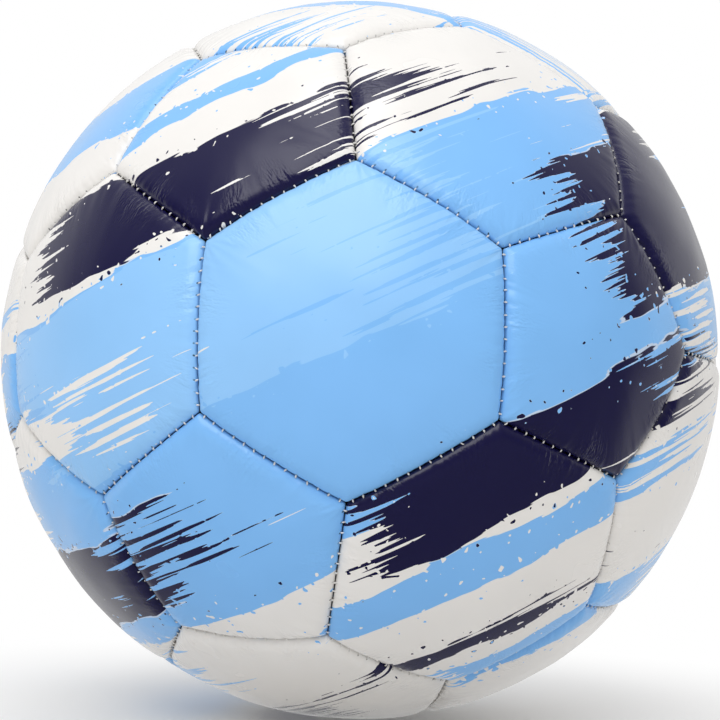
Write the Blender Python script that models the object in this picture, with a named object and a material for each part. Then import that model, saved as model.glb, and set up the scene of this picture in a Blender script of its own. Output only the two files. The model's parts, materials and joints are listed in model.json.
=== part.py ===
"""Thirty-two-panel sewn football: cover panels with turned-in hems, seam thread, bladder and valve.

Metres, +Z up, origin at the centre of the ball. The front hexagon faces -Y, a pentagon lies on its
+X side, a two-fold axis of the panel pattern stands on Z, and the valve looks out along +Y.
"""

import math

import bmesh
import bpy
from mathutils import Matrix, Vector

# Ball and cover
BALL_DIAMETER = 0.220
COVER_THICKNESS = 0.0032
SEAM_GAP = 0.0012
SHOULDER_WIDTH = 0.0034
SHOULDER_DROP = 0.0019
HEM_DEPTH = 0.0048
HEM_WIDTH = 0.0040

# Thread and bladder
THREAD_DEPTH = 0.0030
THREAD_HEIGHT = 0.0009
BLADDER_WALL = 0.0012
FIT_GAP = 0.0003
FACET_SAG = 0.0003

# Valve
VALVE_HOLE_RADIUS = 0.0046
VALVE_HEAD_RADIUS = 0.0042
VALVE_HEAD_RECESS = 0.0006
VALVE_FLANGE_RADIUS = 0.0130
VALVE_FLANGE_THICKNESS = 0.0010
VALVE_STEM_RADIUS = 0.0048
VALVE_STEM_LENGTH = 0.0130
VALVE_BORE_RADIUS = 0.0026
VALVE_EDGE_BREAK = 0.0003
CORE_RECESS = 0.0005
CORE_OVERHANG = 0.0015
NEEDLE_HOLE_RADIUS = 0.0009
NEEDLE_FUNNEL_RADIUS = 0.0015
NEEDLE_FUNNEL_DEPTH = 0.0012

# Facets, and the rings of a panel as shares of the way from its side to its middle
SIDE_STEPS = 3
SHOULDER_STEPS = 2
CROWN_SHARES = (0.64, 0.30)
LINING_SHARE = 0.55
SPHERE_STEPS = 14
BLADDER_TURN_STEPS = 28
VALVE_TURN_STEPS = 16
FLANGE_STEPS = 2
SHARP_ANGLE = math.radians(40)

# Sizes that follow from the ones above
CROWN_RADIUS = BALL_DIAMETER / 2
LINING_RADIUS = CROWN_RADIUS - COVER_THICKNESS
HEM_RADIUS = CROWN_RADIUS - HEM_DEPTH
THREAD_WIDTH = SEAM_GAP - 2 * FIT_GAP
BLADDER_RADIUS = HEM_RADIUS - FIT_GAP - FACET_SAG
VALVE_TOP = CROWN_RADIUS - VALVE_HEAD_RECESS
VALVE_FOOT = BLADDER_RADIUS - VALVE_STEM_LENGTH
CORE_RADIUS = VALVE_BORE_RADIUS - FIT_GAP
GOLDEN = (1 + math.sqrt(5)) / 2

# Finishes as linear colour and roughness
FINISHES = {
    "sky_cover": ((0.25, 0.54, 0.93), 0.28),
    "white_cover": ((0.80, 0.78, 0.76), 0.28),
    "navy_cover": ((0.016, 0.014, 0.060), 0.28),
    "thread": ((0.86, 0.85, 0.82), 0.70),
    "bladder_rubber": ((0.035, 0.033, 0.032), 0.60),
    "valve_rubber": ((0.045, 0.045, 0.048), 0.55),
}

# The white cover is printed in broad brush strokes along the latitudes of a tilted axis, with longitude
# counted from the front. Each has a finish, the latitude and longitude of its middle, and its half width
# and half length, in degrees. A panel's solid takes the finish of the last stroke over its middle.
PRINT_AXIS = Vector((-0.454, -0.060, 0.891)).normalized()
PRINT_STROKES = (
    ("sky_cover", 2, 0, 26, 50),
    ("sky_cover", 6, 165, 14, 60),
    ("sky_cover", -33, -100, 7, 26),
    ("sky_cover", 65, 48, 8, 30),
    ("sky_cover", 75, -168, 8, 40),
    ("navy_cover", 38, -8, 6, 32),
    ("navy_cover", -36, 14, 8, 30),
    ("navy_cover", 2, 70, 13, 22),
    ("navy_cover", -25, -150, 7, 32),
    ("navy_cover", -12, -66, 6, 18),
)


def clear_scene():
    """Removes whatever the file starts with."""
    for obj in list(bpy.data.objects):
        bpy.data.objects.remove(obj)


def make_finish(name):
    """A plain Principled finish by its name."""
    colour, roughness = FINISHES[name]
    material = bpy.data.materials.new(name)
    material.use_nodes = True
    shader = material.node_tree.nodes["Principled BSDF"]
    shader.inputs["Base Color"].default_value = (*colour, 1.0)
    shader.inputs["Roughness"].default_value = roughness
    shader.inputs["Metallic"].default_value = 0.0
    return material


def mesh_from(bm, name):
    """A mesh with its faces pointing out, smooth except at sharp corners."""
    bmesh.ops.recalc_face_normals(bm, faces=bm.faces)
    mesh = bpy.data.meshes.new(name)
    bm.to_mesh(mesh)
    bm.free()
    mesh.materials.append(None)
    mesh.shade_smooth()
    mesh.set_sharp_from_angle(angle=SHARP_ANGLE)
    return mesh


def place(name, mesh, material, parent, turn=Matrix.Identity(3)):
    """One named object, turned about the ball's centre; it holds its finish itself, as meshes are shared."""
    obj = bpy.data.objects.new(name, mesh)
    bpy.context.scene.collection.objects.link(obj)
    obj.parent = parent
    obj.rotation_mode = "QUATERNION"
    obj.rotation_quaternion = turn.to_quaternion()
    obj.material_slots[0].link = "OBJECT"
    obj.material_slots[0].material = material
    return obj


def seam_network():
    """A truncated icosahedron on the unit sphere: golden rectangles, their hull, every point cut off."""
    bm = bmesh.new()
    for a in (-1, 1):
        for b in (-GOLDEN, GOLDEN):
            for co in ((0, a, b), (a, b, 0), (b, 0, a)):
                bm.verts.new(co)
    bmesh.ops.convex_hull(bm, input=bm.verts)
    bmesh.ops.bevel(
        bm, geom=bm.verts[:], offset=100 / 3, offset_type="PERCENT", affect="VERTICES", segments=1
    )
    hexagon_angle = math.atan(1 / GOLDEN**2)
    to_front = Matrix.Rotation(-math.pi / 2 - hexagon_angle, 3, "Z")
    bmesh.ops.rotate(bm, verts=bm.verts, matrix=to_front)
    for vert in bm.verts:
        vert.co.normalize()
    bmesh.ops.recalc_face_normals(bm, faces=bm.faces)
    return bm


def face_frame(corners):
    """The turn that takes a panel modelled on +Z, with its first corner towards +X, to its place."""
    z = sum(corners, Vector()).normalized()
    x = (corners[0] - z * corners[0].dot(z)).normalized()
    return Matrix((x, z.cross(x), z)).transposed()


def seam_ring(corners, inset, radius):
    """Points round a panel at one radius; each side lies in a plane at that inset from its seam's plane."""
    count = len(corners)
    inward = [corners[i].cross(corners[(i + 1) % count]).normalized() for i in range(count)]
    tips = []
    for i, corner in enumerate(corners):
        before, after = inward[i - 1], inward[i]
        across = (before + after) * (inset / (1 + before.dot(after)))
        along = before.cross(after).normalized()
        if along.dot(corner) < 0:
            along.negate()
        tips.append(across + along * math.sqrt(radius**2 - across.length_squared))
    ring = []
    for i, tip in enumerate(tips):
        middle = inward[i] * inset
        start, stop = tip - middle, tips[(i + 1) % count] - middle
        reach = start.length
        ring += [middle + start.slerp(stop, step / SIDE_STEPS) * reach for step in range(SIDE_STEPS)]
    return ring


def circle_ring(like, ring_radius, radius):
    """A circle round +Z at one distance from the ball's centre, its points in line with another ring's."""
    height = math.sqrt(radius**2 - ring_radius**2)
    around = [math.atan2(point.y, point.x) for point in like]
    return [Vector((ring_radius * math.cos(a), ring_radius * math.sin(a), height)) for a in around]


def panel_profile(apothem):
    """A panel's section as (inset, radius): crown, rounded shoulder, hem turned in, lining."""
    wall = SEAM_GAP / 2
    profile = [(share * apothem, CROWN_RADIUS) for share in CROWN_SHARES]
    for step in range(SHOULDER_STEPS + 1):
        angle = math.pi / 2 * step / SHOULDER_STEPS
        inset = SHOULDER_WIDTH - (SHOULDER_WIDTH - wall) * math.sin(angle)
        profile.append((inset, CROWN_RADIUS - SHOULDER_DROP * (1 - math.cos(angle))))
    hem_end = wall + HEM_WIDTH
    profile += [(wall, HEM_RADIUS), (hem_end, HEM_RADIUS), (hem_end, LINING_RADIUS)]
    return profile + [(LINING_SHARE * apothem, LINING_RADIUS)]


def loft(bm, loops):
    """Quads from each loop of points to the next."""
    for upper, lower in zip(loops, loops[1:]):
        for i in range(len(upper)):
            bm.faces.new((upper[i - 1], lower[i - 1], lower[i], upper[i]))


def cap(bm, loop, radius):
    """A fan that closes a loop round +Z, with its middle on the sphere."""
    pole = bm.verts.new((0, 0, radius))
    for i in range(len(loop)):
        bm.faces.new((loop[i - 1], loop[i], pole))


def panel_mesh(name, corners, valve_hole):
    """One cover panel as a closed solid, modelled on +Z, with or without the round hole for the valve."""
    apothem = CROWN_RADIUS * math.asin(corners[0].cross(corners[1]).normalized().z)
    rings = [seam_ring(corners, inset, radius) for inset, radius in panel_profile(apothem)]
    if valve_hole:
        rings.insert(0, circle_ring(rings[0], VALVE_HOLE_RADIUS, CROWN_RADIUS))
        rings.append(circle_ring(rings[0], VALVE_HOLE_RADIUS, LINING_RADIUS))
    bm = bmesh.new()
    loops = [[bm.verts.new(co) for co in ring] for ring in rings]
    if valve_hole:
        loft(bm, loops + loops[:1])
    else:
        loft(bm, loops)
        cap(bm, loops[0], CROWN_RADIUS)
        cap(bm, loops[-1], LINING_RADIUS)
    return mesh_from(bm, name)


def thread_mesh(seams):
    """The sewing thread as one lattice along every seam, down in the slot between the hems."""
    bm = bmesh.new()
    middle = CROWN_RADIUS - THREAD_DEPTH
    radii = (middle + THREAD_HEIGHT / 2, middle - THREAD_HEIGHT / 2)
    sides = {}
    for face in seams.faces:
        corners = [vert.co for vert in face.verts]
        rings = [seam_ring(corners, THREAD_WIDTH / 2, radius) for radius in radii]
        loops = [[bm.verts.new(co) for co in ring] for ring in rings]
        loft(bm, loops)
        for i, loop in enumerate(face.loops):
            first = i * SIDE_STEPS
            runs = [(ring + ring[:1])[first : first + SIDE_STEPS + 1] for ring in loops]
            sides.setdefault(loop.edge, []).append(runs)
    for one_side, other_side in sides.values():
        for near, far in zip(one_side, other_side):
            across = far[::-1]
            for i in range(SIDE_STEPS):
                bm.faces.new((near[i], near[i + 1], across[i + 1], across[i]))
    bmesh.ops.holes_fill(bm, edges=bm.edges, sides=3)
    return mesh_from(bm, "seam_thread")


def turned_mesh(name, profile, steps, closed=True):
    """A solid of revolution about +Z; a profile that isn't closed starts and ends on the axis."""
    bm = bmesh.new()
    verts = [bm.verts.new((distance, 0, height)) for distance, height in profile]
    edges = [bm.edges.new(pair) for pair in zip(verts, verts[1:])]
    if closed:
        edges.append(bm.edges.new((verts[-1], verts[0])))
    bmesh.ops.spin(
        bm, geom=verts + edges, axis=(0, 0, 1), cent=(0, 0, 0), angle=2 * math.pi, steps=steps, use_merge=True
    )
    bmesh.ops.remove_doubles(bm, verts=bm.verts, dist=1e-7)
    return mesh_from(bm, name)


def sphere_arc(radius, start, stop, steps):
    """Profile points on a sphere round the ball's centre, between two angles from the valve's axis."""
    angles = [start + (stop - start) * i / steps for i in range(steps + 1)]
    return [(radius * math.sin(angle), radius * math.cos(angle)) for angle in angles]


def bladder_profile():
    """From the far pole round the outside to the valve opening, and back round the inside."""
    inside = BLADDER_RADIUS - BLADDER_WALL
    opening = VALVE_STEM_RADIUS + FIT_GAP
    outer = sphere_arc(BLADDER_RADIUS, math.pi, math.asin(opening / BLADDER_RADIUS), SPHERE_STEPS)
    return outer + sphere_arc(inside, math.asin(opening / inside), math.pi, SPHERE_STEPS)


def housing_profile():
    """Flush head, flange bedded on the bladder, stem down into it and a bore for the core."""
    foot = BLADDER_RADIUS + FIT_GAP
    top = foot + VALVE_FLANGE_THICKNESS
    head = [
        (VALVE_BORE_RADIUS, VALVE_TOP - VALVE_EDGE_BREAK),
        (VALVE_BORE_RADIUS + VALVE_EDGE_BREAK, VALVE_TOP),
        (VALVE_HEAD_RADIUS - VALVE_EDGE_BREAK, VALVE_TOP),
        (VALVE_HEAD_RADIUS, VALVE_TOP - VALVE_EDGE_BREAK),
    ]
    head_angle, rim_angle = (math.asin(r / top) for r in (VALVE_HEAD_RADIUS, VALVE_FLANGE_RADIUS))
    stem_angle = math.asin(VALVE_STEM_RADIUS / foot)
    flange = sphere_arc(top, head_angle, rim_angle, FLANGE_STEPS)
    flange += sphere_arc(foot, rim_angle, stem_angle, FLANGE_STEPS)
    stem = [
        (VALVE_STEM_RADIUS, VALVE_FOOT + VALVE_EDGE_BREAK),
        (VALVE_STEM_RADIUS - VALVE_EDGE_BREAK, VALVE_FOOT),
        (VALVE_BORE_RADIUS, VALVE_FOOT),
    ]
    return head + flange + stem


def core_profile():
    """A rubber plug with a funnelled needle hole from end to end."""
    top = VALVE_TOP - CORE_RECESS
    foot = VALVE_FOOT - CORE_OVERHANG
    return [
        (NEEDLE_HOLE_RADIUS, top - NEEDLE_FUNNEL_DEPTH),
        (NEEDLE_FUNNEL_RADIUS, top),
        (CORE_RADIUS - VALVE_EDGE_BREAK, top),
        (CORE_RADIUS, top - VALVE_EDGE_BREAK),
        (CORE_RADIUS, foot + VALVE_EDGE_BREAK),
        (CORE_RADIUS - VALVE_EDGE_BREAK, foot),
        (NEEDLE_HOLE_RADIUS, foot),
    ]


def print_finish(direction):
    """The name of the finish that the print has in a direction."""
    front = Vector((0, -1, 0))
    zero = (front - PRINT_AXIS * front.dot(PRINT_AXIS)).normalized()
    side = PRINT_AXIS.cross(zero)
    latitude = math.degrees(math.asin(direction.dot(PRINT_AXIS)))
    longitude = math.degrees(math.atan2(direction.dot(side), direction.dot(zero)))
    found = "white_cover"
    for name, across, along, half_width, half_length in PRINT_STROKES:
        turn = (longitude - along + 180) % 360 - 180
        if abs(latitude - across) < half_width and abs(turn) < half_length:
            found = name
    return found


def build_cover(seams, finishes, ball):
    """The panels, which share three meshes, named from the top of the ball downwards."""
    faces = [[vert.co.copy() for vert in face.verts] for face in seams.faces]
    middles = [sum(corners, Vector()) for corners in faces]
    order = sorted(range(len(faces)), key=lambda i: (-round(middles[i].z, 4), round(middles[i].x, 4)))
    meshes = {}
    counts = {"pentagon_panel": 0, "hexagon_panel": 0}
    for corners in (faces[i] for i in order):
        turn = face_frame(corners)
        outward = turn.col[2]
        kind = "pentagon_panel" if len(corners) == 5 else "hexagon_panel"
        is_valve = kind == "hexagon_panel" and outward.y > 0.999
        if is_valve:
            kind = name = "valve_panel"
        else:
            counts[kind] += 1
            name = f"{kind}_{counts[kind]:02d}"
        if kind not in meshes:
            local = [turn.transposed() @ corner for corner in corners]
            meshes[kind] = panel_mesh(kind, local, is_valve)
        place(name, meshes[kind], finishes[print_finish(outward)], ball, turn)


def build_ball():
    """The whole ball under one empty at its centre."""
    clear_scene()
    ball = bpy.data.objects.new("ball", None)
    bpy.context.scene.collection.objects.link(ball)
    finishes = {name: make_finish(name) for name in FINISHES}
    seams = seam_network()
    build_cover(seams, finishes, ball)
    place("seam_thread", thread_mesh(seams), finishes["thread"], ball)
    seams.free()
    to_valve = Matrix.Rotation(-math.pi / 2, 3, "X")
    bladder = turned_mesh("bladder", bladder_profile(), BLADDER_TURN_STEPS, closed=False)
    place("bladder", bladder, finishes["bladder_rubber"], ball, to_valve)
    for name, profile in (("valve_housing", housing_profile()), ("valve_core", core_profile())):
        mesh = turned_mesh(name, profile, VALVE_TURN_STEPS)
        place(name, mesh, finishes["valve_rubber"], ball, to_valve)


build_ball()
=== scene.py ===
"""Looks of a sewn soccer ball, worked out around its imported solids.

Row frame, in metres: origin at the ball's centre, front hexagon on -Y, valve on +Y, +Z up. Each cover
panel is a fine surface with a rounded shoulder, scalloped where the stitches pull it in, and carries a
brushed print in sky blue, off-white and navy. Stitches, valve and bladder are modelled to match.
"""

import json
import logging
import math
from dataclasses import dataclass
from enum import Enum
from typing import Any

import bpy
import numpy as np
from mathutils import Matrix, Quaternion, Vector

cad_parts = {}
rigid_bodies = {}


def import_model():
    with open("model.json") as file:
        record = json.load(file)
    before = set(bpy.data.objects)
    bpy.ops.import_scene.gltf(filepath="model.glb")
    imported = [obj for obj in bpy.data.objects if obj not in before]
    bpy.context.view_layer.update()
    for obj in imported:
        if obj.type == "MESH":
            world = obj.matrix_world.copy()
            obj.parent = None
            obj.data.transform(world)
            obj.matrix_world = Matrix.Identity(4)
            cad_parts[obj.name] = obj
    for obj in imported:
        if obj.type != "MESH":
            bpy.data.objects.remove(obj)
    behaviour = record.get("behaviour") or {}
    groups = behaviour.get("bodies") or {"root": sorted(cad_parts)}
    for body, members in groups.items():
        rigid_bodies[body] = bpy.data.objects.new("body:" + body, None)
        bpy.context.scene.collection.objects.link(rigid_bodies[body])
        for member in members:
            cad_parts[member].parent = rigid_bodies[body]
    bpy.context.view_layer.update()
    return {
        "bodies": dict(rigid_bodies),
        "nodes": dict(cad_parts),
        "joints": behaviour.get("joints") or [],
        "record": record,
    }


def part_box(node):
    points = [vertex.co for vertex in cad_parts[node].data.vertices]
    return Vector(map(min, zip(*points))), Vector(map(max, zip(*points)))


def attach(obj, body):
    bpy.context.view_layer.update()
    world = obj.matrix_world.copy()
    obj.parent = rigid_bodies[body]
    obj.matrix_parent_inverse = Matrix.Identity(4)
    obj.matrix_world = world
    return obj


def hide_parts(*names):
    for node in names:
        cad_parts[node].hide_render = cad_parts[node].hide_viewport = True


LOG = logging.getLogger("ball")
BODY = "root"
MM = 0.001
GOLDEN = (1 + math.sqrt(5)) / 2


class Signal:
    """A shader socket that plain arithmetic works on; each operator adds one Math node."""

    def __init__(self, graph: "Graph", socket: bpy.types.NodeSocket) -> None:
        """Wraps one output socket of a graph."""
        self.graph = graph
        self.socket = socket

    def __add__(self, other: "Signal | float") -> "Signal":
        """Sum."""
        return self.graph.math("ADD", self, other)

    def __sub__(self, other: "Signal | float") -> "Signal":
        """Difference."""
        return self.graph.math("SUBTRACT", self, other)

    def __rsub__(self, other: float) -> "Signal":
        """Difference from a number."""
        return self.graph.math("SUBTRACT", other, self)

    def __mul__(self, other: "Signal | float") -> "Signal":
        """Product."""
        return self.graph.math("MULTIPLY", self, other)

    def __truediv__(self, other: "Signal | float") -> "Signal":
        """Quotient."""
        return self.graph.math("DIVIDE", self, other)

    def __abs__(self) -> "Signal":
        """Size without sign."""
        return self.graph.math("ABSOLUTE", self)

    __radd__ = __add__
    __rmul__ = __mul__

    def least(self, other: "Signal | float") -> "Signal":
        """The smaller of two values."""
        return self.graph.math("MINIMUM", self, other)

    def most(self, other: "Signal | float") -> "Signal":
        """The larger of two values."""
        return self.graph.math("MAXIMUM", self, other)

    def fade(self, start: float, stop: float) -> "Signal":
        """A smooth rise from 0 at start to 1 at stop.

        Args:
            start: The value that gives 0.
            stop: The value that gives 1; it may be the smaller one.

        Returns:
            The faded signal.
        """
        settings = {"interpolation_type": "SMOOTHSTEP"}
        inputs = {"Value": self, "From Min": start, "From Max": stop}
        return Signal(self.graph, self.graph.node("ShaderNodeMapRange", settings, inputs).outputs["Result"])


class Graph:
    """The node tree of one material or world."""

    def __init__(self, owner: bpy.types.Material | bpy.types.World) -> None:
        """Starts on the nodes that a new material or world comes with."""
        self.owner = owner
        owner.use_nodes = True
        self.tree = owner.node_tree

    @classmethod
    def material(cls, name: str) -> "Graph":
        """The graph of a new material with its Principled shader and nothing linked to it."""
        return cls(bpy.data.materials.new(name))

    def node(
        self, kind: str, settings: dict[str, Any] | None = None, inputs: dict[Any, Any] | None = None
    ) -> bpy.types.Node:
        """Adds any node.

        Args:
            kind: The node's type name.
            settings: Its properties, which are set first.
            inputs: Values or signals by socket name or number.

        Returns:
            The new node.
        """
        made = self.tree.nodes.new(kind)
        for key, value in (settings or {}).items():
            setattr(made, key, value)
        for key, value in (inputs or {}).items():
            self.feed(made.inputs[key], value)
        return made

    def feed(self, socket: bpy.types.NodeSocket, value: Any) -> None:
        """Links a signal to a socket, or sets a plain value on it."""
        if isinstance(value, Signal):
            self.tree.links.new(value.socket, socket)
        else:
            socket.default_value = value

    def math(self, operation: str, *values: Signal | float) -> Signal:
        """A Math node on signals and numbers."""
        made = self.node("ShaderNodeMath", {"operation": operation}, dict(enumerate(values)))
        return Signal(self, made.outputs[0])

    def dot(self, vector: Signal, direction: np.ndarray) -> Signal:
        """The part of a vector that lies along a fixed direction."""
        inputs = {0: vector, 1: tuple(float(x) for x in direction)}
        made = self.node("ShaderNodeVectorMath", {"operation": "DOT_PRODUCT"}, inputs)
        return Signal(self, made.outputs["Value"])

    def unit(self, vector: Signal) -> Signal:
        """A vector at length 1."""
        made = self.node("ShaderNodeVectorMath", {"operation": "NORMALIZE"}, {0: vector})
        return Signal(self, made.outputs["Vector"])

    def length(self, vector: Signal) -> Signal:
        """A vector's length."""
        made = self.node("ShaderNodeVectorMath", {"operation": "LENGTH"}, {0: vector})
        return Signal(self, made.outputs["Value"])

    def scaled(self, vector: Signal, factor: Signal) -> Signal:
        """A vector or colour made longer or brighter by a factor."""
        made = self.node("ShaderNodeVectorMath", {"operation": "SCALE"}, {0: vector, "Scale": factor})
        return Signal(self, made.outputs["Vector"])

    def join(self, x: Signal | float, y: Signal | float, z: Signal | float) -> Signal:
        """A vector from three values."""
        return Signal(self, self.node("ShaderNodeCombineXYZ", {}, {0: x, 1: y, 2: z}).outputs[0])

    def parts(self, vector: Signal) -> tuple[Signal, Signal, Signal]:
        """The three values of a vector."""
        made = self.node("ShaderNodeSeparateXYZ", {}, {0: vector})
        return tuple(Signal(self, socket) for socket in made.outputs)

    def place(self) -> Signal:
        """The point on the piece, in the row frame."""
        return Signal(self, self.node("ShaderNodeTexCoord").outputs["Object"])

    def ray(self, kind: str) -> Signal:
        """1 for rays of one kind, such as Camera, else 0."""
        return Signal(self, self.node("ShaderNodeLightPath").outputs[f"Is {kind} Ray"])

    def attribute(self, name: str) -> Signal:
        """A vector that the mesh holds at each point."""
        return Signal(self, self.node("ShaderNodeAttribute", {"attribute_name": name}).outputs["Vector"])

    def noise(self, vector: Signal, scale: float, detail: float = 2.0) -> Signal:
        """Soft noise from 0 to 1.

        Args:
            vector: Where to read it.
            scale: Its features per unit of length.
            detail: Its finer octaves.

        Returns:
            The noise value.
        """
        inputs = {"Vector": vector, "Scale": scale, "Detail": detail}
        return Signal(self, self.node("ShaderNodeTexNoise", {}, inputs).outputs["Fac"])

    def mix(self, share: Signal | float, first: Any, second: Any) -> Signal:
        """A colour between two colours.

        Args:
            share: 0 for the first colour, 1 for the second.
            first: A colour or a colour signal.
            second: A colour or a colour signal.

        Returns:
            The mixed colour.
        """
        made = self.node("ShaderNodeMix", {"data_type": "RGBA"}, {0: share, 6: first, 7: second})
        return Signal(self, made.outputs[2])

    def bump(self, height: Signal, distance: float, strength: float = 1.0) -> Signal:
        """A bumped normal from a height signal."""
        inputs = {"Height": height, "Distance": distance, "Strength": strength}
        return Signal(self, self.node("ShaderNodeBump", {}, inputs).outputs["Normal"])

    def surface(self, **inputs: Any) -> bpy.types.Material:
        """Feeds the Principled shader, with _ for spaces in socket names, and gives the material."""
        shader = self.tree.nodes["Principled BSDF"]
        for key, value in inputs.items():
            self.feed(shader.inputs[key.replace("_", " ")], value)
        return self.owner


class Ink(Enum):
    """The inks of the print as linear colours."""

    WHITE = (0.800, 0.782, 0.760, 1.0)
    SKY = (0.206, 0.482, 0.888, 1.0)
    PALE_SKY = (0.276, 0.552, 0.918, 1.0)
    NAVY = (0.0072, 0.0060, 0.047, 1.0)


@dataclass(frozen=True)
class Stroke:
    """One pull of a broad brush, in degrees on the ball in its brush set's own frame."""

    ink: Ink
    across: float
    along: float
    half_width: float
    half_length: float

    def limit(self, graph: Graph, along: Signal, across: Signal, rough: "Roughs", radius: float) -> Signal:
        """How far a point lies inside the ink: between ragged sides, a blunt start and a streaky dry end.

        Args:
            graph: The material to add to.
            along: Longitude of the point in the brush set's frame.
            across: Its latitude there, as a length on the ball.
            rough: How far noise moves each limit.
            radius: The ball's radius.

        Returns:
            A length, below 0 outside the ink.
        """
        line, middle, width, length = np.radians([self.across, self.along, self.half_width, self.half_length])
        turn = graph.math("WRAP", along - float(middle), math.pi, -math.pi)
        run = turn * float(radius * math.cos(line))
        reach = float(radius * math.cos(line) * length)
        side = float(radius * width) - abs(across - float(radius * line)) + rough.side
        return side.least(run + reach + rough.start).least(reach - run + rough.end).least(rough.scratch)


@dataclass(frozen=True)
class Roughs:
    """How far noise moves the limits of the strokes of one brush set, as lengths."""

    side: Signal
    start: Signal
    end: Signal
    scratch: Signal


@dataclass(frozen=True)
class BrushSet:
    """Strokes that run the same way round the ball, along the latitudes of a tilted axis."""

    axis: tuple[float, float, float]
    zero: tuple[float, float, float]
    strokes: tuple[Stroke, ...]

    def lay(self, graph: Graph, spot: Signal, radius: float, ground: Any) -> Signal:
        """Lays the set's strokes over a ground colour, in their order.

        Bristle noise is drawn out along the strokes, drift noise is broad and flecks are small and
        round; each moves the strokes' limits.

        Args:
            graph: The material to add to.
            spot: Direction of the point on the print.
            radius: The ball's radius.
            ground: The colour under the strokes.

        Returns:
            The colour with the strokes on it.
        """
        axis = np.array(self.axis) / np.linalg.norm(self.axis)
        middle = np.array(self.zero) - axis * (axis @ np.array(self.zero))
        middle /= np.linalg.norm(middle)
        x, y, z = (graph.dot(spot, way) for way in (middle, np.cross(axis, middle), axis))
        along = graph.math("ARCTAN2", y, x)
        across = graph.math("ARCSINE", z) * radius
        far = radius / (48 * MM)
        bristle = graph.noise(graph.join(across / (1.35 * MM), x * far, y * far), 1.0, 2.0) - 0.5
        far = radius / (22 * MM)
        drift = graph.noise(graph.join(across / (7 * MM), x * far, y * far), 1.0, 2.0) - 0.5
        speck = graph.noise(spot, radius / (1.5 * MM), 0.0) - 0.5
        fleck = speck - speck.least(0.225).most(-0.225)
        rough = Roughs(
            side=drift * (10 * MM) + bristle * (3.2 * MM) + fleck * (44 * MM),
            start=bristle * (50 * MM) + drift * (24 * MM) + fleck * (90 * MM),
            end=bristle * (210 * MM) + drift * (60 * MM) + fleck * (90 * MM),
            scratch=(bristle + 0.26) * (30 * MM),
        )
        for stroke in self.strokes:
            limit = stroke.limit(graph, along, across, rough, radius)
            if stroke.ink is Ink.NAVY:
                keyline = limit.fade(-0.50 * MM, -0.30 * MM) * 0.55
                ground = graph.mix(keyline, ground, Ink.WHITE.value)
            ground = graph.mix(limit.fade(-0.05 * MM, 0.10 * MM), ground, stroke.ink.value)
        return ground


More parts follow.
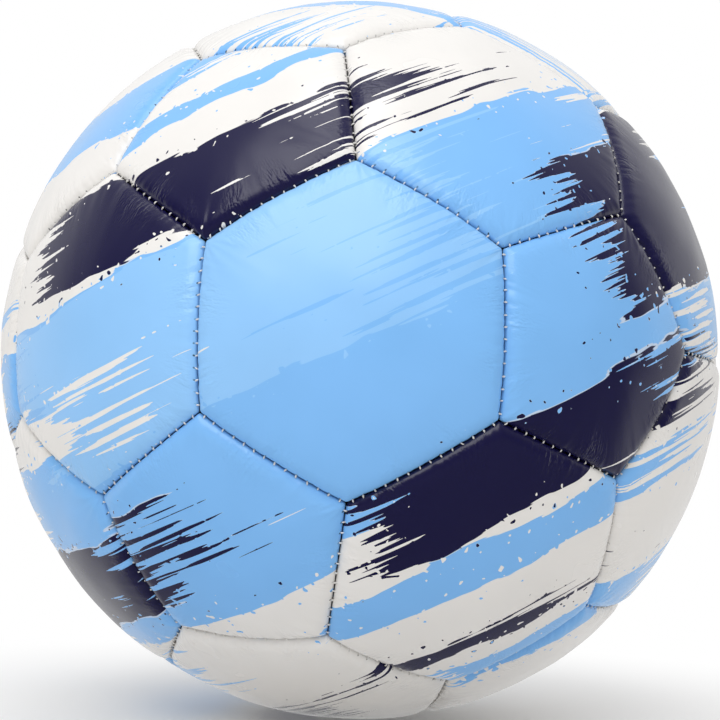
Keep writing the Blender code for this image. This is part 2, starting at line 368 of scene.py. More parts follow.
@dataclass(frozen=True)
class PrintedCover:
    """Glossy printed PVC skin of the panels."""

    radius: float
    pitch: float
    roughness: float = 0.25
    specular: float = 0.44
    brush_sets: tuple[BrushSet, ...] = (
        BrushSet((0.25, 0.9, 0.36), (0.7, -0.4, 0.55), (
            Stroke(Ink.NAVY, 30, 70, 5, 30),
            Stroke(Ink.SKY, 34, -96, 10, 32),
            Stroke(Ink.NAVY, 26, -120, 4, 26),
            Stroke(Ink.SKY, 4, -58, 8, 34),
            Stroke(Ink.NAVY, 14, -66, 2.4, 26),
            Stroke(Ink.SKY, 6, 150, 7, 30),
            Stroke(Ink.NAVY, -6, 165, 4, 24),
        )),
        BrushSet((-0.454, -0.06, 0.891), (0.0, -1.0, 0.0), (
            Stroke(Ink.SKY, 0, -4, 24.5, 70),
            Stroke(Ink.PALE_SKY, 13, -20, 11, 36),
            Stroke(Ink.WHITE, 9, -66, 5, 24),
            Stroke(Ink.SKY, 57, -30, 5.0, 46),
            Stroke(Ink.SKY, 45, 12, 1.3, 42),
            Stroke(Ink.NAVY, 32, -14, 6.3, 32),
            Stroke(Ink.SKY, -35, 8, 2.6, 38),
            Stroke(Ink.NAVY, -23.5, 24, 7.0, 33),
            Stroke(Ink.NAVY, -47, -8, 1.3, 24),
            Stroke(Ink.SKY, -57, 28, 5.5, 44),
            Stroke(Ink.SKY, -5, 94, 14, 30),
            Stroke(Ink.PALE_SKY, -11, 92, 5, 24),
            Stroke(Ink.NAVY, 2, 63, 13, 25),
            Stroke(Ink.NAVY, -14, -62, 6, 19),
            Stroke(Ink.SKY, 4, 180, 17, 58),
            Stroke(Ink.PALE_SKY, 12, 176, 6, 40),
            Stroke(Ink.NAVY, 30, 172, 6, 36),
            Stroke(Ink.NAVY, -27, 196, 7, 32),
            Stroke(Ink.SKY, -42, 186, 2, 46),
            Stroke(Ink.SKY, 48, 164, 4, 40),
            Stroke(Ink.SKY, 26, -104, 5, 22),
            Stroke(Ink.NAVY, 10, -108, 6, 20),
            Stroke(Ink.NAVY, -52, -84, 4, 24),
            Stroke(Ink.SKY, -34, -100, 7, 26),
        )),
    )

    def print_colour(self, graph: Graph) -> Signal:
        """The inks laid over the white ground, one brush set after the other."""
        spot = graph.unit(graph.attribute("print_at"))
        colour: Any = Ink.WHITE.value
        for brush_set in self.brush_sets:
            colour = brush_set.lay(graph, spot, self.radius, colour)
        return colour

    def material(self) -> bpy.types.Material:
        """Print, seam shade, needle holes, soft sheen and fine grain."""
        graph = Graph.material("printed_cover")
        place = graph.place()
        along, inset, pierced = graph.parts(graph.attribute("seam_at"))
        depth = self.radius - graph.length(place)
        ink = self.print_colour(graph)
        phase = graph.math("FRACT", along / self.pitch) - 0.5
        beside = graph.join(phase * self.pitch, inset - 0.52 * MM, 0.0)
        deep = graph.noise(place, 700.0, 0.0).fade(0.25, 0.75)
        hole = graph.length(beside).fade(0.32 * MM, 0.18 * MM) * pierced * deep
        # painted shade: the colour darkens the deeper a point lies in the seam's slot between the panels
        slot = depth.fade(2.55 * MM, 3.5 * MM)
        # painted shade along the seam's edge: darker within half a millimetre of the wall
        painted_edge_shade = inset.fade(0.5 * MM, 0.0) * 0.15
        shade = slot.most(hole * 0.85).most(painted_edge_shade)
        cloud = graph.noise(place, 45.0, 2.0)
        toned = graph.scaled(ink, 0.94 + cloud * 0.12)
        # mixes towards near-black where the painted seam shade and the dark needle holes lie
        colour = graph.mix(shade, toned, (0.010, 0.012, 0.018, 1.0))
        grain = graph.noise(place, 1500.0, 0.0)
        peel = graph.noise(place, 260.0, 1.0)
        roughness = self.roughness + (cloud - 0.5) * 0.14 + slot * 0.4
        run, reach, depth_share = graph.parts(graph.attribute("fold_at"))
        fold = graph.noise(graph.join(run / (1.9 * MM), reach / (5.0 * MM), 0.0), 1.0, 2.0) - 0.5
        skin = grain * (depth_share * (0.085 * MM) + 0.003 * MM) + peel * (0.015 * MM) - abs(fold) * depth_share * (0.60 * MM)
        normal = graph.bump(skin, 1.0)
        return graph.surface(
            Base_Color=colour, Roughness=roughness, Normal=normal, Specular_IOR_Level=self.specular
        )


@dataclass(frozen=True)
class ThreadFinish:
    """Off-white waxed thread with its twist."""

    def material(self) -> bpy.types.Material:
        """Colour that varies from stitch to stitch, and plies that wind round it."""
        graph = Graph.material("waxed_thread")
        round_at, along, _ = graph.parts(graph.attribute("twist_at"))
        ply = graph.math("SINE", round_at * 2.0 + along * 9.0)
        tone = graph.noise(graph.place(), 400.0, 2.0)
        colour = graph.mix(tone, (0.86, 0.85, 0.825, 1.0), (0.69, 0.68, 0.65, 1.0))
        normal = graph.bump(ply, 0.05 * MM, 0.6)
        return graph.surface(Base_Color=colour, Roughness=0.62, Normal=normal)


@dataclass(frozen=True)
class RubberFinish:
    """Moulded black rubber."""

    name: str
    colour: tuple[float, float, float, float]
    roughness: float

    def material(self) -> bpy.types.Material:
        """Faint bloom on the colour, uneven sheen and a fine moulded grain."""
        graph = Graph.material(self.name)
        place = graph.place()
        bloom = graph.noise(place, 220.0, 4.0)
        pale = tuple(0.05 + 1.6 * x for x in self.colour[:3]) + (1.0,)
        colour = graph.mix(bloom.fade(0.45, 0.85), self.colour, pale)
        normal = graph.bump(graph.noise(place, 2600.0, 2.0), 0.04 * MM, 0.5)
        return graph.surface(Base_Color=colour, Roughness=self.roughness + (bloom - 0.5) * 0.2, Normal=normal)


@dataclass(frozen=True)
class FloorFinish:
    """Plain pale studio paper."""

    seen: tuple[float, float, float, float] = (0.84, 0.84, 0.84, 1.0)
    bounced: tuple[float, float, float, float] = (0.88, 0.86, 0.83, 1.0)
    mirrored: tuple[float, float, float, float] = (0.12, 0.12, 0.13, 1.0)
    near: float = 0.07
    far: float = 0.26

    def material(self) -> bpy.types.Material:
        """Matt paper near the ball; further off the camera sees plain white."""
        graph = Graph.material("studio_paper")
        place = graph.place()
        camera, glossy = graph.ray("Camera"), graph.ray("Glossy")
        bounced = graph.mix(glossy, self.bounced, self.mirrored)
        graph.surface(Base_Color=graph.mix(camera, bounced, self.seen), Roughness=0.9)
        _, back, _ = graph.parts(place)
        share = graph.length(place).fade(self.near, self.far) * camera
        share = share.most(back.fade(-0.12, 0.02) * glossy * 0.85)
        white = graph.node("ShaderNodeEmission", {}, {"Color": (1.0, 1.0, 1.0, 1.0), "Strength": 1.0})
        paper = Signal(graph, graph.tree.nodes["Principled BSDF"].outputs[0])
        both = graph.node("ShaderNodeMixShader", {}, {0: share, 1: paper, 2: Signal(graph, white.outputs[0])})
        graph.feed(graph.tree.nodes["Material Output"].inputs["Surface"], Signal(graph, both.outputs[0]))
        return graph.owner


def mesh_piece(name: str, points: np.ndarray, faces: list[list[int]], material: bpy.types.Material) -> bpy.types.Object:
    """A smooth mesh object at the origin.

    Args:
        name: The piece's name.
        points: Vertex places, in the row frame.
        faces: Vertex numbers of each face, turning left seen from outside.
        material: Its finish.

    Returns:
        The object, riding on the ball's body.
    """
    mesh = bpy.data.meshes.new(name)
    mesh.from_pydata(points.reshape(-1, 3), [], faces)
    mesh.materials.append(material)
    mesh.shade_smooth()
    piece = bpy.data.objects.new(name, mesh)
    bpy.context.scene.collection.objects.link(piece)
    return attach(piece, BODY)


def point_vectors(piece: bpy.types.Object, name: str, values: np.ndarray) -> None:
    """Stores one vector at each point of a piece's mesh."""
    layer = piece.data.attributes.new(name, "FLOAT_VECTOR", "POINT")
    layer.data.foreach_set("vector", np.ascontiguousarray(values, np.float32).ravel())


def ring_faces(first: np.ndarray, second: np.ndarray) -> list[list[int]]:
    """Faces between two closed rings of vertex numbers, the second one with as many points or a third.

    Args:
        first: The ring nearer the panel's outer middle.
        second: The next ring; either one may be the coarser.

    Returns:
        Quads where the rings match, otherwise two triangles and a quad for each coarse step.
    """
    if len(first) == len(second):
        quads = np.stack([first, second, np.roll(second, -1), np.roll(first, -1)], 1)
        return quads.tolist()
    fine, coarse = (first, second) if len(first) > len(second) else (second, first)
    f = [np.roll(fine, -step)[::3] for step in range(4)]
    c = [coarse, np.roll(coarse, -1)]
    left = np.stack([f[0], c[0], f[1]], 1)
    middle = np.stack([f[1], c[0], c[1], f[2]], 1)
    right = np.stack([f[2], c[1], f[3]], 1)
    found = left.tolist() + middle.tolist() + right.tolist()
    return found if fine is first else [face[::-1] for face in found]


@dataclass(frozen=True)
class PanelPattern:
    """Where the thirty-two panels of a truncated icosahedron lie on the unit sphere."""

    front_turn: float = -math.pi / 2 - math.atan(1 / GOLDEN**2)

    def icosahedron(self) -> tuple[np.ndarray, np.ndarray]:
        """Points of the icosahedron, turned so that a face looks along -Y, and its neighbour table.

        Returns:
            Twelve points, and a table that is true where two of them share an edge.
        """
        signs = [(a, b * GOLDEN) for a in (-1, 1) for b in (-1, 1)]
        points = np.array([p for a, b in signs for p in ((0, a, b), (a, b, 0), (b, 0, a))], float)
        cos, sin = math.cos(self.front_turn), math.sin(self.front_turn)
        points = points @ np.array([[cos, sin, 0], [-sin, cos, 0], [0, 0, 1]])
        gaps = np.linalg.norm(points[:, None] - points[None], axis=2)
        return points, np.abs(gaps - 2) < 0.01

    def panels(self) -> list[np.ndarray]:
        """Corners of each panel, in order round it.

        Returns:
            For each of 12 pentagons and 20 hexagons, its corners on the unit sphere, turning left.
        """
        points, near = self.icosahedron()
        groups = [[(i, j) for j in np.flatnonzero(near[i])] for i in range(12)]
        for i, j, k in ((i, j, k) for i in range(12) for j in range(i) for k in range(j)):
            if near[i, j] and near[j, k] and near[i, k]:
                groups.append([(a, b) for a in (i, j, k) for b in (i, j, k) if a != b])
        return [self.in_order(np.array([2 * points[a] + points[b] for a, b in group])) for group in groups]

    @staticmethod
    def in_order(corners: np.ndarray) -> np.ndarray:
        """Corners put on the unit sphere and sorted by their angle round the panel's middle."""
        corners = corners / np.linalg.norm(corners, axis=1)[:, None]
        z = corners.mean(0) / np.linalg.norm(corners.mean(0))
        x = corners[0] - z * (corners[0] @ z)
        turn = np.arctan2(corners @ np.cross(z, x), corners @ x)
        return corners[np.argsort(turn)]

    def seams(self) -> np.ndarray:
        """The two ends of each of the 90 seams."""
        sides = [np.stack([c, np.roll(c, -1, 0)], 1) for c in self.panels()]
        sides = np.concatenate(sides)
        _, first = np.unique(np.round(sides.sum(1), 4), axis=0, return_index=True)
        return sides[np.sort(first)]


@dataclass(frozen=True)
class SeamShape:
    """How the panels' edges are rounded and drawn in by the stitches, in metres."""

    stitches: int = 14
    pitch: float = 3.15 * MM
    gap_at_stitch: float = 0.06 * MM
    gap_between: float = 0.14 * MM
    shoulder_width: float = 4.4 * MM
    shoulder_drop: float = 2.15 * MM
    pillow_width: float = 19 * MM
    pillow_drop: float = 0.50 * MM
    pull_down: float = 0.22 * MM
    pull_reach: float = 1.2 * MM
    corner_radius: float = 0.7 * MM
    corner_drop: float = 0.20 * MM
    corner_reach: float = 4.0 * MM
    hem_depth: float = 4.0 * MM
    hem_width: float = 4.0 * MM
    cover_thickness: float = 3.2 * MM
    print_loss: float = 5.0 * MM

    def edge_profile(self) -> list[tuple[float, float]]:
        """Inset and drop from the shoulder's start to the top of the seam's wall.

        The shoulder is a quarter ellipse: inset W (1 - sin t), drop D (1 - cos t).

        Returns:
            Pairs of inset from the wall and drop below the crown.
        """
        turn = np.radians(np.append(np.linspace(0, 72, 9), [79, 85, 90]))
        inset = self.shoulder_width * (1 - np.sin(turn))
        drop = self.shoulder_drop * (1 - np.cos(turn))
        return list(zip(inset.tolist(), drop.tolist()))


class CoverPanel:
    """One sewn panel as a closed fine surface."""

    SIDE_POINTS = 90
    CROWN_RINGS = 12
    PIERCED_SIDE = np.array([-0.8, 0.1, 0.6])

    def __init__(self, corners: np.ndarray, radius: float, seam: SeamShape, seed: int, hole: float = 0.0) -> None:
        """Keeps the panel's place, works out its own frame and draws its small unevenness.

        Args:
            corners: Its corners on the unit sphere.
            radius: The ball's radius.
            seam: The shape of its edges.
            seed: Picks its unevenness.
            hole: Radius of a round hole in its middle, or 0.
        """
        self.sides = len(corners)
        self.radius = radius
        self.seam = seam
        self.hole = hole
        self.corners = corners
        z = corners.mean(0) / np.linalg.norm(corners.mean(0))
        x = corners[0] - z * (corners[0] @ z)
        x = x / np.linalg.norm(x)
        self.axes = np.stack([x, np.cross(z, x), z])
        across = np.cross(corners[0], corners[1])
        self.apothem = math.asin(across @ z / np.linalg.norm(across))
        random = np.random.default_rng(seed)
        self.broad_length = random.uniform(10 * MM, 40 * MM, 14)
        way = random.normal(size=(14, 3))
        self.broad_way = way / np.linalg.norm(way, axis=1)[:, None]
        self.broad_phase = random.uniform(0, 2 * math.pi, 14)
        self.broad_height = self.broad_length * random.uniform(0.0010, 0.0024, 14)
        self.gather_length = np.geomspace(1.8 * MM, 11 * MM, 16) * random.uniform(0.94, 1.06, 16)
        self.gather_phase = random.uniform(0, 2 * math.pi, (16, self.sides))
        self.gather_height = 0.018 * MM * np.geomspace(1, 2, 16) * random.uniform(0.5, 1.5, 16)
        self.fold_length = random.uniform(14 * MM, 34 * MM, self.sides)
        self.fold_phase = random.uniform(0, 2 * math.pi, self.sides)
        self.fold_start = random.uniform(0, 9, self.sides)
        self.crease_count = random.integers(9, 20, (self.sides, 3))
        self.crease_phase = random.uniform(0, 2 * math.pi, (self.sides, 3))
        self.print_turn = random.normal(0, 1.0)
        self.print_shift = random.uniform(0.2, 0.7)
        self.print_way = random.normal(size=3)
        self.crease_height = 0.11 * MM * random.uniform(0.1, 1.0, self.sides) ** 2
        self.crease_reach = random.uniform(4 * MM, 11 * MM, self.sides)

    def outline(self) -> tuple[np.ndarray, np.ndarray, np.ndarray]:
        """The panel's outline with small round corners, in the plane that touches its middle.

        Great circles are straight lines there. Points are even in angle along each seam; the last of
        each side follow an arc of the corner radius.

        Returns:
            Outline points (P, 2), their distance along the seam from its middle (P,), and their side (P,).
        """
        inner = math.tan(self.apothem)
        half = math.pi / self.sides
        tilt = math.sqrt(1 + inner**2)
        tip = inner * math.tan(half)
        end = math.atan(tip / tilt)
        angle = np.tile(np.linspace(-end, end, self.SIDE_POINTS, endpoint=False), self.sides)
        y = tilt * np.tan(angle)
        arc = 1.15 * self.seam.corner_radius / self.radius
        straight = tip - arc * math.tan(half)
        turn = np.clip((np.abs(y) - straight) / (tip - straight), 0, 1) * half
        x = inner - arc * (1 - np.cos(turn))
        y = np.where(turn > 0, np.sign(y) * (straight + arc * np.sin(turn)), y)
        side = np.repeat(np.arange(self.sides), self.SIDE_POINTS)
        way = (2 * side + 1) * half
        points = np.stack([x * np.cos(way) - y * np.sin(way), x * np.sin(way) + y * np.cos(way)], 1)
        return points, angle * self.radius, side

    def pierced(self) -> np.ndarray:
        """For each side 1 where the needle went in on this panel, or 0 where it did on its neighbour."""
        middles = self.corners + np.roll(self.corners, -1, 0)
        inward = self.axes[2] - middles / np.linalg.norm(middles, axis=1)[:, None]
        return (inward @ self.PIERCED_SIDE > 0).astype(float)

    def broad_waves(self, direction: np.ndarray) -> np.ndarray:
        """Broad shallow waves of the filled skin: a sum of sines along random directions."""
        way = self.broad_way * (2 * math.pi * self.radius / self.broad_length)[:, None]
        return np.sin(direction @ way.T + self.broad_phase) @ self.broad_height

    def gathers(self, along: np.ndarray, side: np.ndarray, inset: float) -> np.ndarray:
        """Uneven gathers that run in from the seam: cosines along it that die out across it."""
        waves = np.cos(2 * math.pi * along / self.gather_length[:, None] + self.gather_phase[:, side])
        height = self.gather_height * np.exp(-inset / (2.2 * MM + 0.35 * self.gather_length))
        return (height @ waves) * (1 - (along / np.abs(along).max()) ** 6)

    def folds(self, along: np.ndarray, side: np.ndarray, inset: float) -> np.ndarray:
        """Where the skin is crumpled beside the seam: in patches along it, most at the shoulder's start.

        Args:
            along: Distance from the seam's middle.
            side: The side of each point.
            inset: Distance in from the seam's wall.

        Returns:
            For each point its place for the crumple noise (along, inset) and the crumple's strength.
        """
        patch = 0.5 + 0.5 * np.cos(2 * math.pi * along / self.fold_length[side] + self.fold_phase[side])
        inward = inset / (4 * MM)
        strength = patch * (1 - (along / np.abs(along).max()) ** 4) * inward * math.exp(1 - inward**1.5)
        return np.stack([along + self.fold_start[side], np.full(len(along), inset), strength], 1)

    def creases(self, direction: np.ndarray, corner: np.ndarray, away: np.ndarray) -> np.ndarray:
        """Fine creases that fan out from each corner: cosines of the angle round it.

        Args:
            direction: Unit directions of the points.
            corner: The nearest corner's number for each point.
            away: The distance from that corner.

        Returns:
            Heights of the creases.
        """
        tip = self.corners[corner]
        inward = self.axes[2] - tip
        sideways = np.cross(tip, inward)
        offset = direction - tip
        angle = np.arctan2((offset * sideways).sum(1), (offset * inward).sum(1))
        waves = np.cos(self.crease_count[corner] * angle[:, None] + self.crease_phase[corner]).sum(1)
        fade = np.exp(-away / self.crease_reach[corner]) * (1 - np.exp(-((away / (2.0 * MM)) ** 2)))
        return self.crease_height[corner] * waves * fade

    def rings(self) -> list[tuple[float, float, bool]]:
        """Rings from the middle of the crown to the middle of the lining.

        Returns:
            For each ring its inset from the seam's wall, its drop below the crown and whether it is fine.
        """
        seam = self.seam
        edge = seam.edge_profile()
        begin = edge[0][0]
        middle = self.apothem * self.radius - (self.hole or 2.2 * MM)
        crown = begin + (middle - begin) * np.linspace(1, 0, self.CROWN_RINGS + 1)[:-1] ** 1.5
        found = [(inset, 0.0, inset < 9 * MM) for inset in crown]
        found += [(inset, drop, True) for inset, drop in edge]
        top = edge[-1][1]
        found += [(0.0, top + depth * MM, True) for depth in (0.4, 1.0)]
        hem = seam.hem_width
        found += [(0.0, seam.hem_depth, False), (hem, seam.hem_depth, False), (hem, seam.cover_thickness, False)]
        found += [(inset, seam.cover_thickness, False) for inset in np.linspace(hem, middle, 5)[1:]]
        if self.hole:
            found = [(middle, drop * MM, False) for drop in (2.8, 0.7, 0.35, 0.12)] + found
        return found

    def surface(self) -> tuple[list[np.ndarray], ...]:
        """Points of every ring with their place along the seam.

        A ring is the outline shrunk by tan(apothem - inset) / tan(apothem), turning round towards the
        middle, thrown out to the sphere and lowered by its drop, the pillow, the pull of the stitches,
        the dip at the corners and the skin's unevenness.

        Returns:
            For each ring its points, its unit directions, its seam places (along, inset, pierced) and its folds.
        """
        seam = self.seam
        outline = self.outline()
        pierced = self.pierced()
        points, directions, places, folds = [], [], [], []
        for inset, drop, fine in self.rings():
            flat, along, side = (values[:: 1 if fine else 3] for values in outline)
            bulge = np.sqrt(np.cos(math.pi * along / seam.pitch) ** 2 + 0.02)
            near = math.exp(-inset / seam.pull_reach)
            gap = seam.gap_at_stitch + (seam.gap_between - seam.gap_at_stitch) * bulge * near
            share = np.tan(self.apothem - (inset + gap) / self.radius) / math.tan(self.apothem)
            turned = np.clip((0.55 - share) / 0.35, 0, 1)[:, None]
            circle = flat / np.linalg.norm(flat, axis=1)[:, None] * math.tan(self.apothem)
            flat = (flat * (1 - turned) + circle * turned) * share[:, None]
            direction = np.concatenate([flat, np.ones((len(flat), 1))], 1) @ self.axes
            direction /= np.linalg.norm(direction, axis=1)[:, None]
            closeness = direction @ self.corners.T
            corner = closeness.argmax(1)
            away = np.arccos(np.clip(closeness.max(1), -1, 1)) * self.radius
            lower = seam.pillow_drop * max(0.0, 1 - inset / seam.pillow_width) ** 2 + drop
            lower = lower + seam.pull_down * (1 - bulge) * near
            lower = lower + seam.corner_drop * np.exp(-((away / seam.corner_reach) ** 2))
            wave = self.broad_waves(direction) + self.gathers(along, side, inset)
            wave = wave + self.creases(direction, corner, away)
            points.append(direction * (self.radius - lower + wave - 0.12 * MM)[:, None])
            directions.append(direction)
            places.append(np.stack([along, np.full(len(along), inset), pierced[side]], 1))
            folds.append(self.folds(along, side, inset))
        return points, directions, places, folds

    def build(self, name: str, material: bpy.types.Material) -> bpy.types.Object:
        """Makes the panel's mesh with its print and seam places.

        Args:
            name: The piece's name.
            material: The printed cover's finish.

        Returns:
            The panel's object.
        """
        points, directions, places, folds = self.surface()
        starts = np.cumsum([0] + [len(ring) for ring in points])
        numbers = [np.arange(a, b) for a, b in zip(starts, starts[1:])]
        faces = []
        for first, second in zip(numbers, numbers[1:]):
            faces += ring_faces(first, second)
        if self.hole:
            faces += ring_faces(numbers[-1], numbers[0])
        else:
            for ring, outward in ((0, True), (-1, False)):
                pole = sum(len(p) for p in points)
                loop = numbers[ring]
                fan = np.stack([np.full(len(loop), pole), loop, np.roll(loop, -1)], 1)
                faces += (fan if outward else fan[:, ::-1]).tolist()
                axis = self.axes[2:3]
                points.append(axis * np.linalg.norm(points[ring], axis=1).mean())
                directions.append(axis)
                places.append(np.array([[0.0, self.apothem * self.radius, 0.0]]))
                folds.append(np.zeros((1, 3)))
        piece = mesh_piece(name, np.concatenate(points), faces, material)
        point_vectors(piece, "print_at", self.misprint(np.concatenate(directions)) * self.radius)
        point_vectors(piece, "seam_at", np.concatenate(places))
        point_vectors(piece, "fold_at", np.concatenate(folds))
        return piece

    def misprint(self, direction: np.ndarray) -> np.ndarray:
        """The print's own place on the panel.

        The hems take a strip of the print along every seam, so each direction moves towards the panel's
        middle by that loss over the apothem. Each panel was also cut a little off, so it turns and shifts
        by a degree or so.

        Args:
            direction: Unit directions of the panel's points.

        Returns:
            The directions where the print is read.
        """
        inward = (self.axes[2] - direction) * (self.seam.print_loss / (self.apothem * self.radius))
        direction = direction + inward
        turn = Quaternion(self.axes[2], math.radians(self.print_turn))
        shift = Quaternion(Vector(self.print_way), math.radians(self.print_shift))
        return direction @ np.array((turn @ shift).to_matrix())


@dataclass(frozen=True)
class Stitching:
    """The bars of thread that cross every seam."""

    pattern: PanelPattern
    seam: SeamShape
    radius: float
    depth: float = 1.92 * MM
    half_length: float = 0.50 * MM
    thickness: float = 0.23 * MM
    arch: float = 0.20 * MM
    stations: int = 5
    sides: int = 8

    def bars(self) -> tuple[np.ndarray, np.ndarray]:
        """Points of all bars: a tube along a shallow arch across the seam.

        Station u from -1 to 1 lies at out (level - arch u^2) + across (half length) u + along (slant) u,
        and the tube's radius there is thickness sqrt(1 - 0.8 u^2).

        Returns:
            Points (bars, stations, sides, 3) and their twist places (angle, station, 0).
        """
        random = np.random.default_rng(11)
        ends = self.pattern.seams()
        middle = ends.sum(1) / np.linalg.norm(ends.sum(1), axis=1)[:, None]
        ahead = (ends[:, 1] - ends[:, 0]) / np.linalg.norm(ends[:, 1] - ends[:, 0], axis=1)[:, None]
        count = self.seam.stitches
        spot = (np.arange(count) - (count - 1) / 2) * self.seam.pitch
        shape = (len(ends), count)
        angle = (spot + random.normal(0, 0.10 * MM, shape)) / self.radius
        cos, sin = np.cos(angle)[..., None], np.sin(angle)[..., None]
        out = middle[:, None] * cos + ahead[:, None] * sin
        along = ahead[:, None] * cos - middle[:, None] * sin
        across = np.cross(out, along)
        slant = random.normal(0, 0.20, shape)[..., None]
        across = across + along * slant
        level = self.radius - self.depth + random.normal(0, 0.09 * MM, shape)
        size = random.normal(1, 0.07, shape)
        frames = [v.reshape(-1, 1, 1, 3) for v in (out, along, across)]
        level, size = level.reshape(-1, 1, 1, 1), size.reshape(-1, 1, 1, 1)
        u = np.linspace(-1, 1, self.stations).reshape(1, -1, 1, 1)
        v = (2 * math.pi * np.arange(self.sides) / self.sides).reshape(1, 1, -1, 1)
        tube = self.thickness * size * np.sqrt(1 - 0.8 * u**2)
        core = frames[0] * (level - self.arch * u**2) + frames[2] * (self.half_length * u)
        points = core + frames[0] * (tube * np.cos(v)) + frames[1] * (tube * np.sin(v))
        twist = np.concatenate(np.broadcast_arrays(v, u, np.zeros_like(u)), 3)
        return points, np.broadcast_to(twist, points.shape)

    def build(self, material: bpy.types.Material) -> bpy.types.Object:
        """All bars as one piece that stands for the thread.

        Args:
            material: The thread's finish.

        Returns:
            The stitches' object.
        """
        points, twist = self.bars()
        bars = len(points)
        grid = np.arange(points[..., 0].size).reshape(bars, self.stations, self.sides)
        first, second = grid[:, :-1], grid[:, 1:]
        walls = np.stack([first, second, np.roll(second, -1, 2), np.roll(first, -1, 2)], 3)
        caps = np.concatenate([grid[:, 0], grid[:, -1, ::-1]])
        faces = walls.reshape(-1, 4).tolist() + caps.tolist()
        piece = mesh_piece("seam_stitches", points, faces, material)
        point_vectors(piece, "twist_at", twist)
        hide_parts("seam_thread")
        return piece


@dataclass(frozen=True)
class Valve:
    """Flush rubber valve on +Y: a housing with a moulded head, and the core that takes the needle."""

    top: float
    foot: float
    head_radius: float = 4.2 * MM
    flange_radius: float = 13.0 * MM
    flange_top: float = 105.9 * MM
    flange_foot: float = 104.9 * MM
    stem_radius: float = 4.8 * MM
    bore_radius: float = 2.6 * MM
    edge_radius: float = 0.4 * MM
    ridge: float = 0.12 * MM
    core_radius: float = 2.3 * MM
    core_recess: float = 0.5 * MM
    needle_radius: float = 0.9 * MM
    funnel_radius: float = 1.5 * MM
    funnel_depth: float = 1.2 * MM
    steps: int = 96

    @staticmethod
    def arc(centre: tuple[float, float], radius: float, start: float, stop: float, count: int = 7) -> np.ndarray:
        """Points on a circle's arc.

        Args:
            centre: The circle's middle (distance, height).
            radius: Its radius.
            start: The first angle, in degrees from the distance axis.
            stop: The last angle.
            count: How many points.

        Returns:
            Points (count, 2).
        """
        turn = np.radians(np.linspace(start, stop, count))
        return np.array(centre) + radius * np.stack([np.cos(turn), np.sin(turn)], 1)

    def on_sphere(self, radius: float, near: float, far: float) -> np.ndarray:
        """Points at a radius round the ball's centre between two distances from the axis."""
        distance = np.linspace(near, far, 6)
        return np.stack([distance, np.sqrt(radius**2 - distance**2)], 1)

    def housing_profile(self) -> np.ndarray:
        """Round-edged head with a raised ring, flange on the bladder, stem and bore."""
        e = self.edge_radius
        ring = (self.bore_radius + self.head_radius) / 2
        turn = np.linspace(-math.pi, math.pi, 13)
        raised = np.stack([ring + turn / math.pi * 0.4 * MM, self.top + self.ridge / 2 * (1 + np.cos(turn))], 1)
        return np.concatenate([
            self.arc((self.bore_radius + e, self.top - e), e, 180, 90),
            raised,
            self.arc((self.head_radius - e, self.top - e), e, 90, 0),
            self.on_sphere(self.flange_top, self.head_radius, self.flange_radius),
            self.on_sphere(self.flange_foot, self.flange_radius, self.stem_radius),
            np.array([[self.stem_radius, self.foot], [self.bore_radius, self.foot]]),
        ])

    def core_profile(self) -> np.ndarray:
        """Round-topped plug with a funnelled needle hole from end to end."""
        e = self.edge_radius / 2
        top = self.top - self.core_recess
        foot = self.foot - 1.5 * MM
        return np.concatenate([
            np.array([[self.needle_radius, top - self.funnel_depth]]),
            self.arc((self.funnel_radius + e, top - e), e, 150, 90),
            self.arc((self.core_radius - e, top - e), e, 90, 0),
            np.array([[self.core_radius, foot], [self.needle_radius, foot]]),
        ])

    def turned(self, name: str, node: str, slot: str, profile: np.ndarray, finish: bpy.types.Material) -> bpy.types.Object:
        """Carries a closed profile (distance from the axis, height along +Y) round the axis.

        Args:
            name: The piece's name.
            node: The CAD node that it stands for.
            slot: The record's slot of its finish; not used.
            profile: Points that go out along the top and down the outside.
            finish: Its material.

        Returns:
            The turned piece.
        """
        turn = 2 * math.pi * np.arange(self.steps) / self.steps
        distance, height = profile[:, :1], profile[:, 1:]
        x = distance * np.cos(turn)
        points = np.stack([x, np.broadcast_to(height, x.shape), distance * np.sin(turn)], 2)
        grid = np.arange(x.size).reshape(x.shape)
        below = np.roll(grid, -1, 0)
        quads = np.stack([grid, np.roll(grid, -1, 1), np.roll(below, -1, 1), below], 2)
        piece = mesh_piece(name, points, quads.reshape(-1, 4).tolist(), finish)
        piece.data.set_sharp_from_angle(angle=math.radians(50))
        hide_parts(node)
        return piece

    def build(self, slots: dict[str, str]) -> list[bpy.types.Object]:
        """Makes housing and core.

        Args:
            slots: The record's slot of each node.

        Returns:
            The two pieces.
        """
        rubber = RubberFinish("valve_rubber", (0.030, 0.030, 0.033, 1.0), 0.5).material()
        profiles = {"valve_housing": self.housing_profile(), "valve_core": self.core_profile()}
        return [self.turned(f"moulded_{n}", n, slots[n], p, rubber) for n, p in profiles.items()]


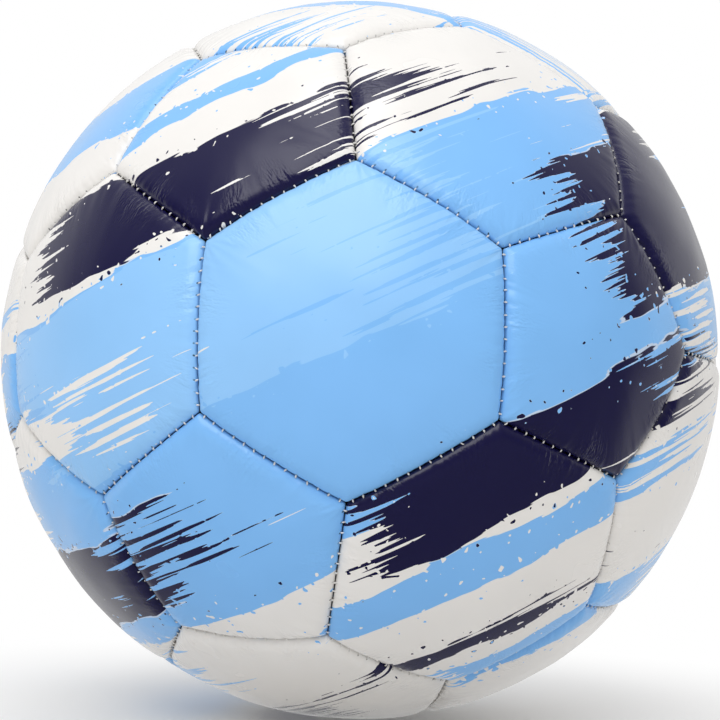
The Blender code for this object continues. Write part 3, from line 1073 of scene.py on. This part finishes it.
@dataclass(frozen=True)
class Studio:
    """Camera, floor and lights."""

    radius: float
    azimuth: float = 1.40
    elevation: float = -4.354
    roll: float = 1.63
    distance: float = 4.466
    frame_fill: float = 359.5 / 360
    sensor: float = 36.0

    def place_camera(self) -> None:
        """Sets the camera where the ball's outline and its seams look as they do in the photo."""
        az, el = math.radians(self.azimuth), math.radians(self.elevation)
        out = Vector((math.sin(az) * math.cos(el), -math.cos(az) * math.cos(el), math.sin(el)))
        data = bpy.data.cameras.new("camera")
        data.sensor_width = self.sensor
        data.lens = self.sensor / 2 * self.frame_fill * math.sqrt(self.distance**2 - 1)
        data.clip_start = 0.01
        camera = bpy.data.objects.new("camera", data)
        bpy.context.scene.collection.objects.link(camera)
        camera.location = out * self.distance * self.radius
        camera.rotation_mode = "QUATERNION"
        roll = Quaternion((0, 0, 1), math.radians(self.roll))
        camera.rotation_quaternion = out.to_track_quat("Z", "Y") @ roll
        bpy.context.scene.camera = camera

    def place_floor(self) -> None:
        """A pale floor that keeps the ball's shadow and goes over into the white background."""
        reach = 3.0
        corners = np.array([[-1, -1], [1, -1], [1, 1], [-1, 1]]) * reach
        points = np.concatenate([corners, np.full((4, 1), -self.radius)], 1)
        mesh = bpy.data.meshes.new("floor")
        mesh.from_pydata(points, [], [[0, 1, 2, 3]])
        mesh.materials.append(FloorFinish().material())
        floor = bpy.data.objects.new("floor", mesh)
        bpy.context.scene.collection.objects.link(floor)

    def place_light(self, name: str, spot: tuple[float, float, float], size: float, power: float) -> None:
        """A square soft box that looks at the ball."""
        data = bpy.data.lights.new(name, "AREA")
        data.shape = "SQUARE"
        data.size = size
        data.energy = power
        light = bpy.data.objects.new(name, data)
        bpy.context.scene.collection.objects.link(light)
        light.location = spot
        light.rotation_mode = "QUATERNION"
        light.rotation_quaternion = Vector(spot).to_track_quat("Z", "Y")

    def light(self) -> None:
        """Two soft boxes, one above the camera and one overhead, in a surround that is paler above.

        The camera sees the surround as white, and so do reflections of what lies behind the ball.
        """
        self.place_light("key_box", (-0.20, -0.94, 0.88), 1.0, 9.15)
        self.place_light("top_box", (-0.08, -0.30, 1.24), 0.45, 1.8)
        world = bpy.data.worlds.new("surround")
        bpy.context.scene.world = world
        graph = Graph(world)
        way = Signal(graph, graph.node("ShaderNodeTexCoord").outputs["Generated"])
        _, back, up = graph.parts(way)
        glossy = graph.ray("Glossy")
        lit = up.fade(-0.3, 0.95) * 0.12 + back.fade(-0.2, 0.9) * 0.18 + 0.51
        mirrored = up.fade(0.0, 0.95) * 0.44 + 0.06
        level = lit + (mirrored - lit) * glossy
        behind = glossy.most(graph.ray("Transmission")) * back.fade(-0.1, 0.5) * 0.85
        white = graph.ray("Camera").most(behind)
        strength = level + (1.0 - level) * white
        graph.feed(graph.tree.nodes["Background"].inputs["Color"], (1.0, 1.0, 1.0, 1.0))
        graph.feed(graph.tree.nodes["Background"].inputs["Strength"], strength)
        bpy.context.scene.view_settings.view_transform = "Standard"


class Ball:
    """The whole ball, dressed piece by piece."""

    def __init__(self, frame: dict[str, Any]) -> None:
        """Reads the ball's radius and each panel node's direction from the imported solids.
        """
        self.slots = {part["node"]: part["material_slot"] for part in frame["record"]["subparts"]}
        self.nodes = frame["nodes"]
        self.pattern = PanelPattern()
        self.seam = SeamShape()
        self.middles = {}
        self.radius = 0.0
        for name, node in self.nodes.items():
            if name.endswith("_panel") or "_panel_" in name:
                points = np.empty(len(node.data.vertices) * 3, np.float32)
                node.data.vertices.foreach_get("co", points)
                points = points.reshape(-1, 3)
                self.middles[name] = points.mean(0) / np.linalg.norm(points.mean(0))
                self.radius = max(self.radius, float(np.linalg.norm(points, axis=1).max()))

    def node_at(self, direction: np.ndarray) -> str:
        """The panel node that looks in a direction."""
        return max(self.middles, key=lambda name: self.middles[name] @ direction)

    def build_cover(self) -> None:
        """The thirty-two printed panels."""
        cover = PrintedCover(self.radius, self.seam.pitch).material()
        for number, corners in enumerate(self.pattern.panels()):
            node = self.node_at(corners.mean(0))
            hole = 4.5 * MM if node == "valve_panel" else 0.0
            piece = CoverPanel(corners, self.radius, self.seam, 100 + number, hole).build(f"printed_{node}", cover)
            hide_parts(node)
            LOG.info("%s: %d faces", piece.name, len(piece.data.polygons))

    def build_thread(self) -> None:
        """The stitches along every seam."""
        stitches = Stitching(self.pattern, self.seam, self.radius).build(ThreadFinish().material())
        LOG.info("%s: %d faces", stitches.name, len(stitches.data.polygons))

    def build_inside(self) -> None:
        """The valve, and the bladder, whose solid stays and takes a rubber finish."""
        low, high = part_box("valve_housing")
        for piece in Valve(top=high[1], foot=low[1]).build(self.slots):
            LOG.info("%s: %d faces", piece.name, len(piece.data.polygons))
        rubber = RubberFinish("bladder_rubber", (0.024, 0.023, 0.022, 1.0), 0.6).material()
        for slot in self.nodes["bladder"].material_slots:
            slot.material = rubber
        LOG.info("bladder: rubber finish")


def main() -> None:
    """Dresses the ball around its solids."""
    logging.basicConfig(level=logging.INFO, format="%(message)s")
    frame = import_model()
    ball = Ball(frame)
    ball.build_cover()
    ball.build_thread()
    ball.build_inside()
    studio = Studio(ball.radius)
    studio.place_camera()
    studio.place_floor()
    studio.light()


if __name__ == "__main__":
    main()
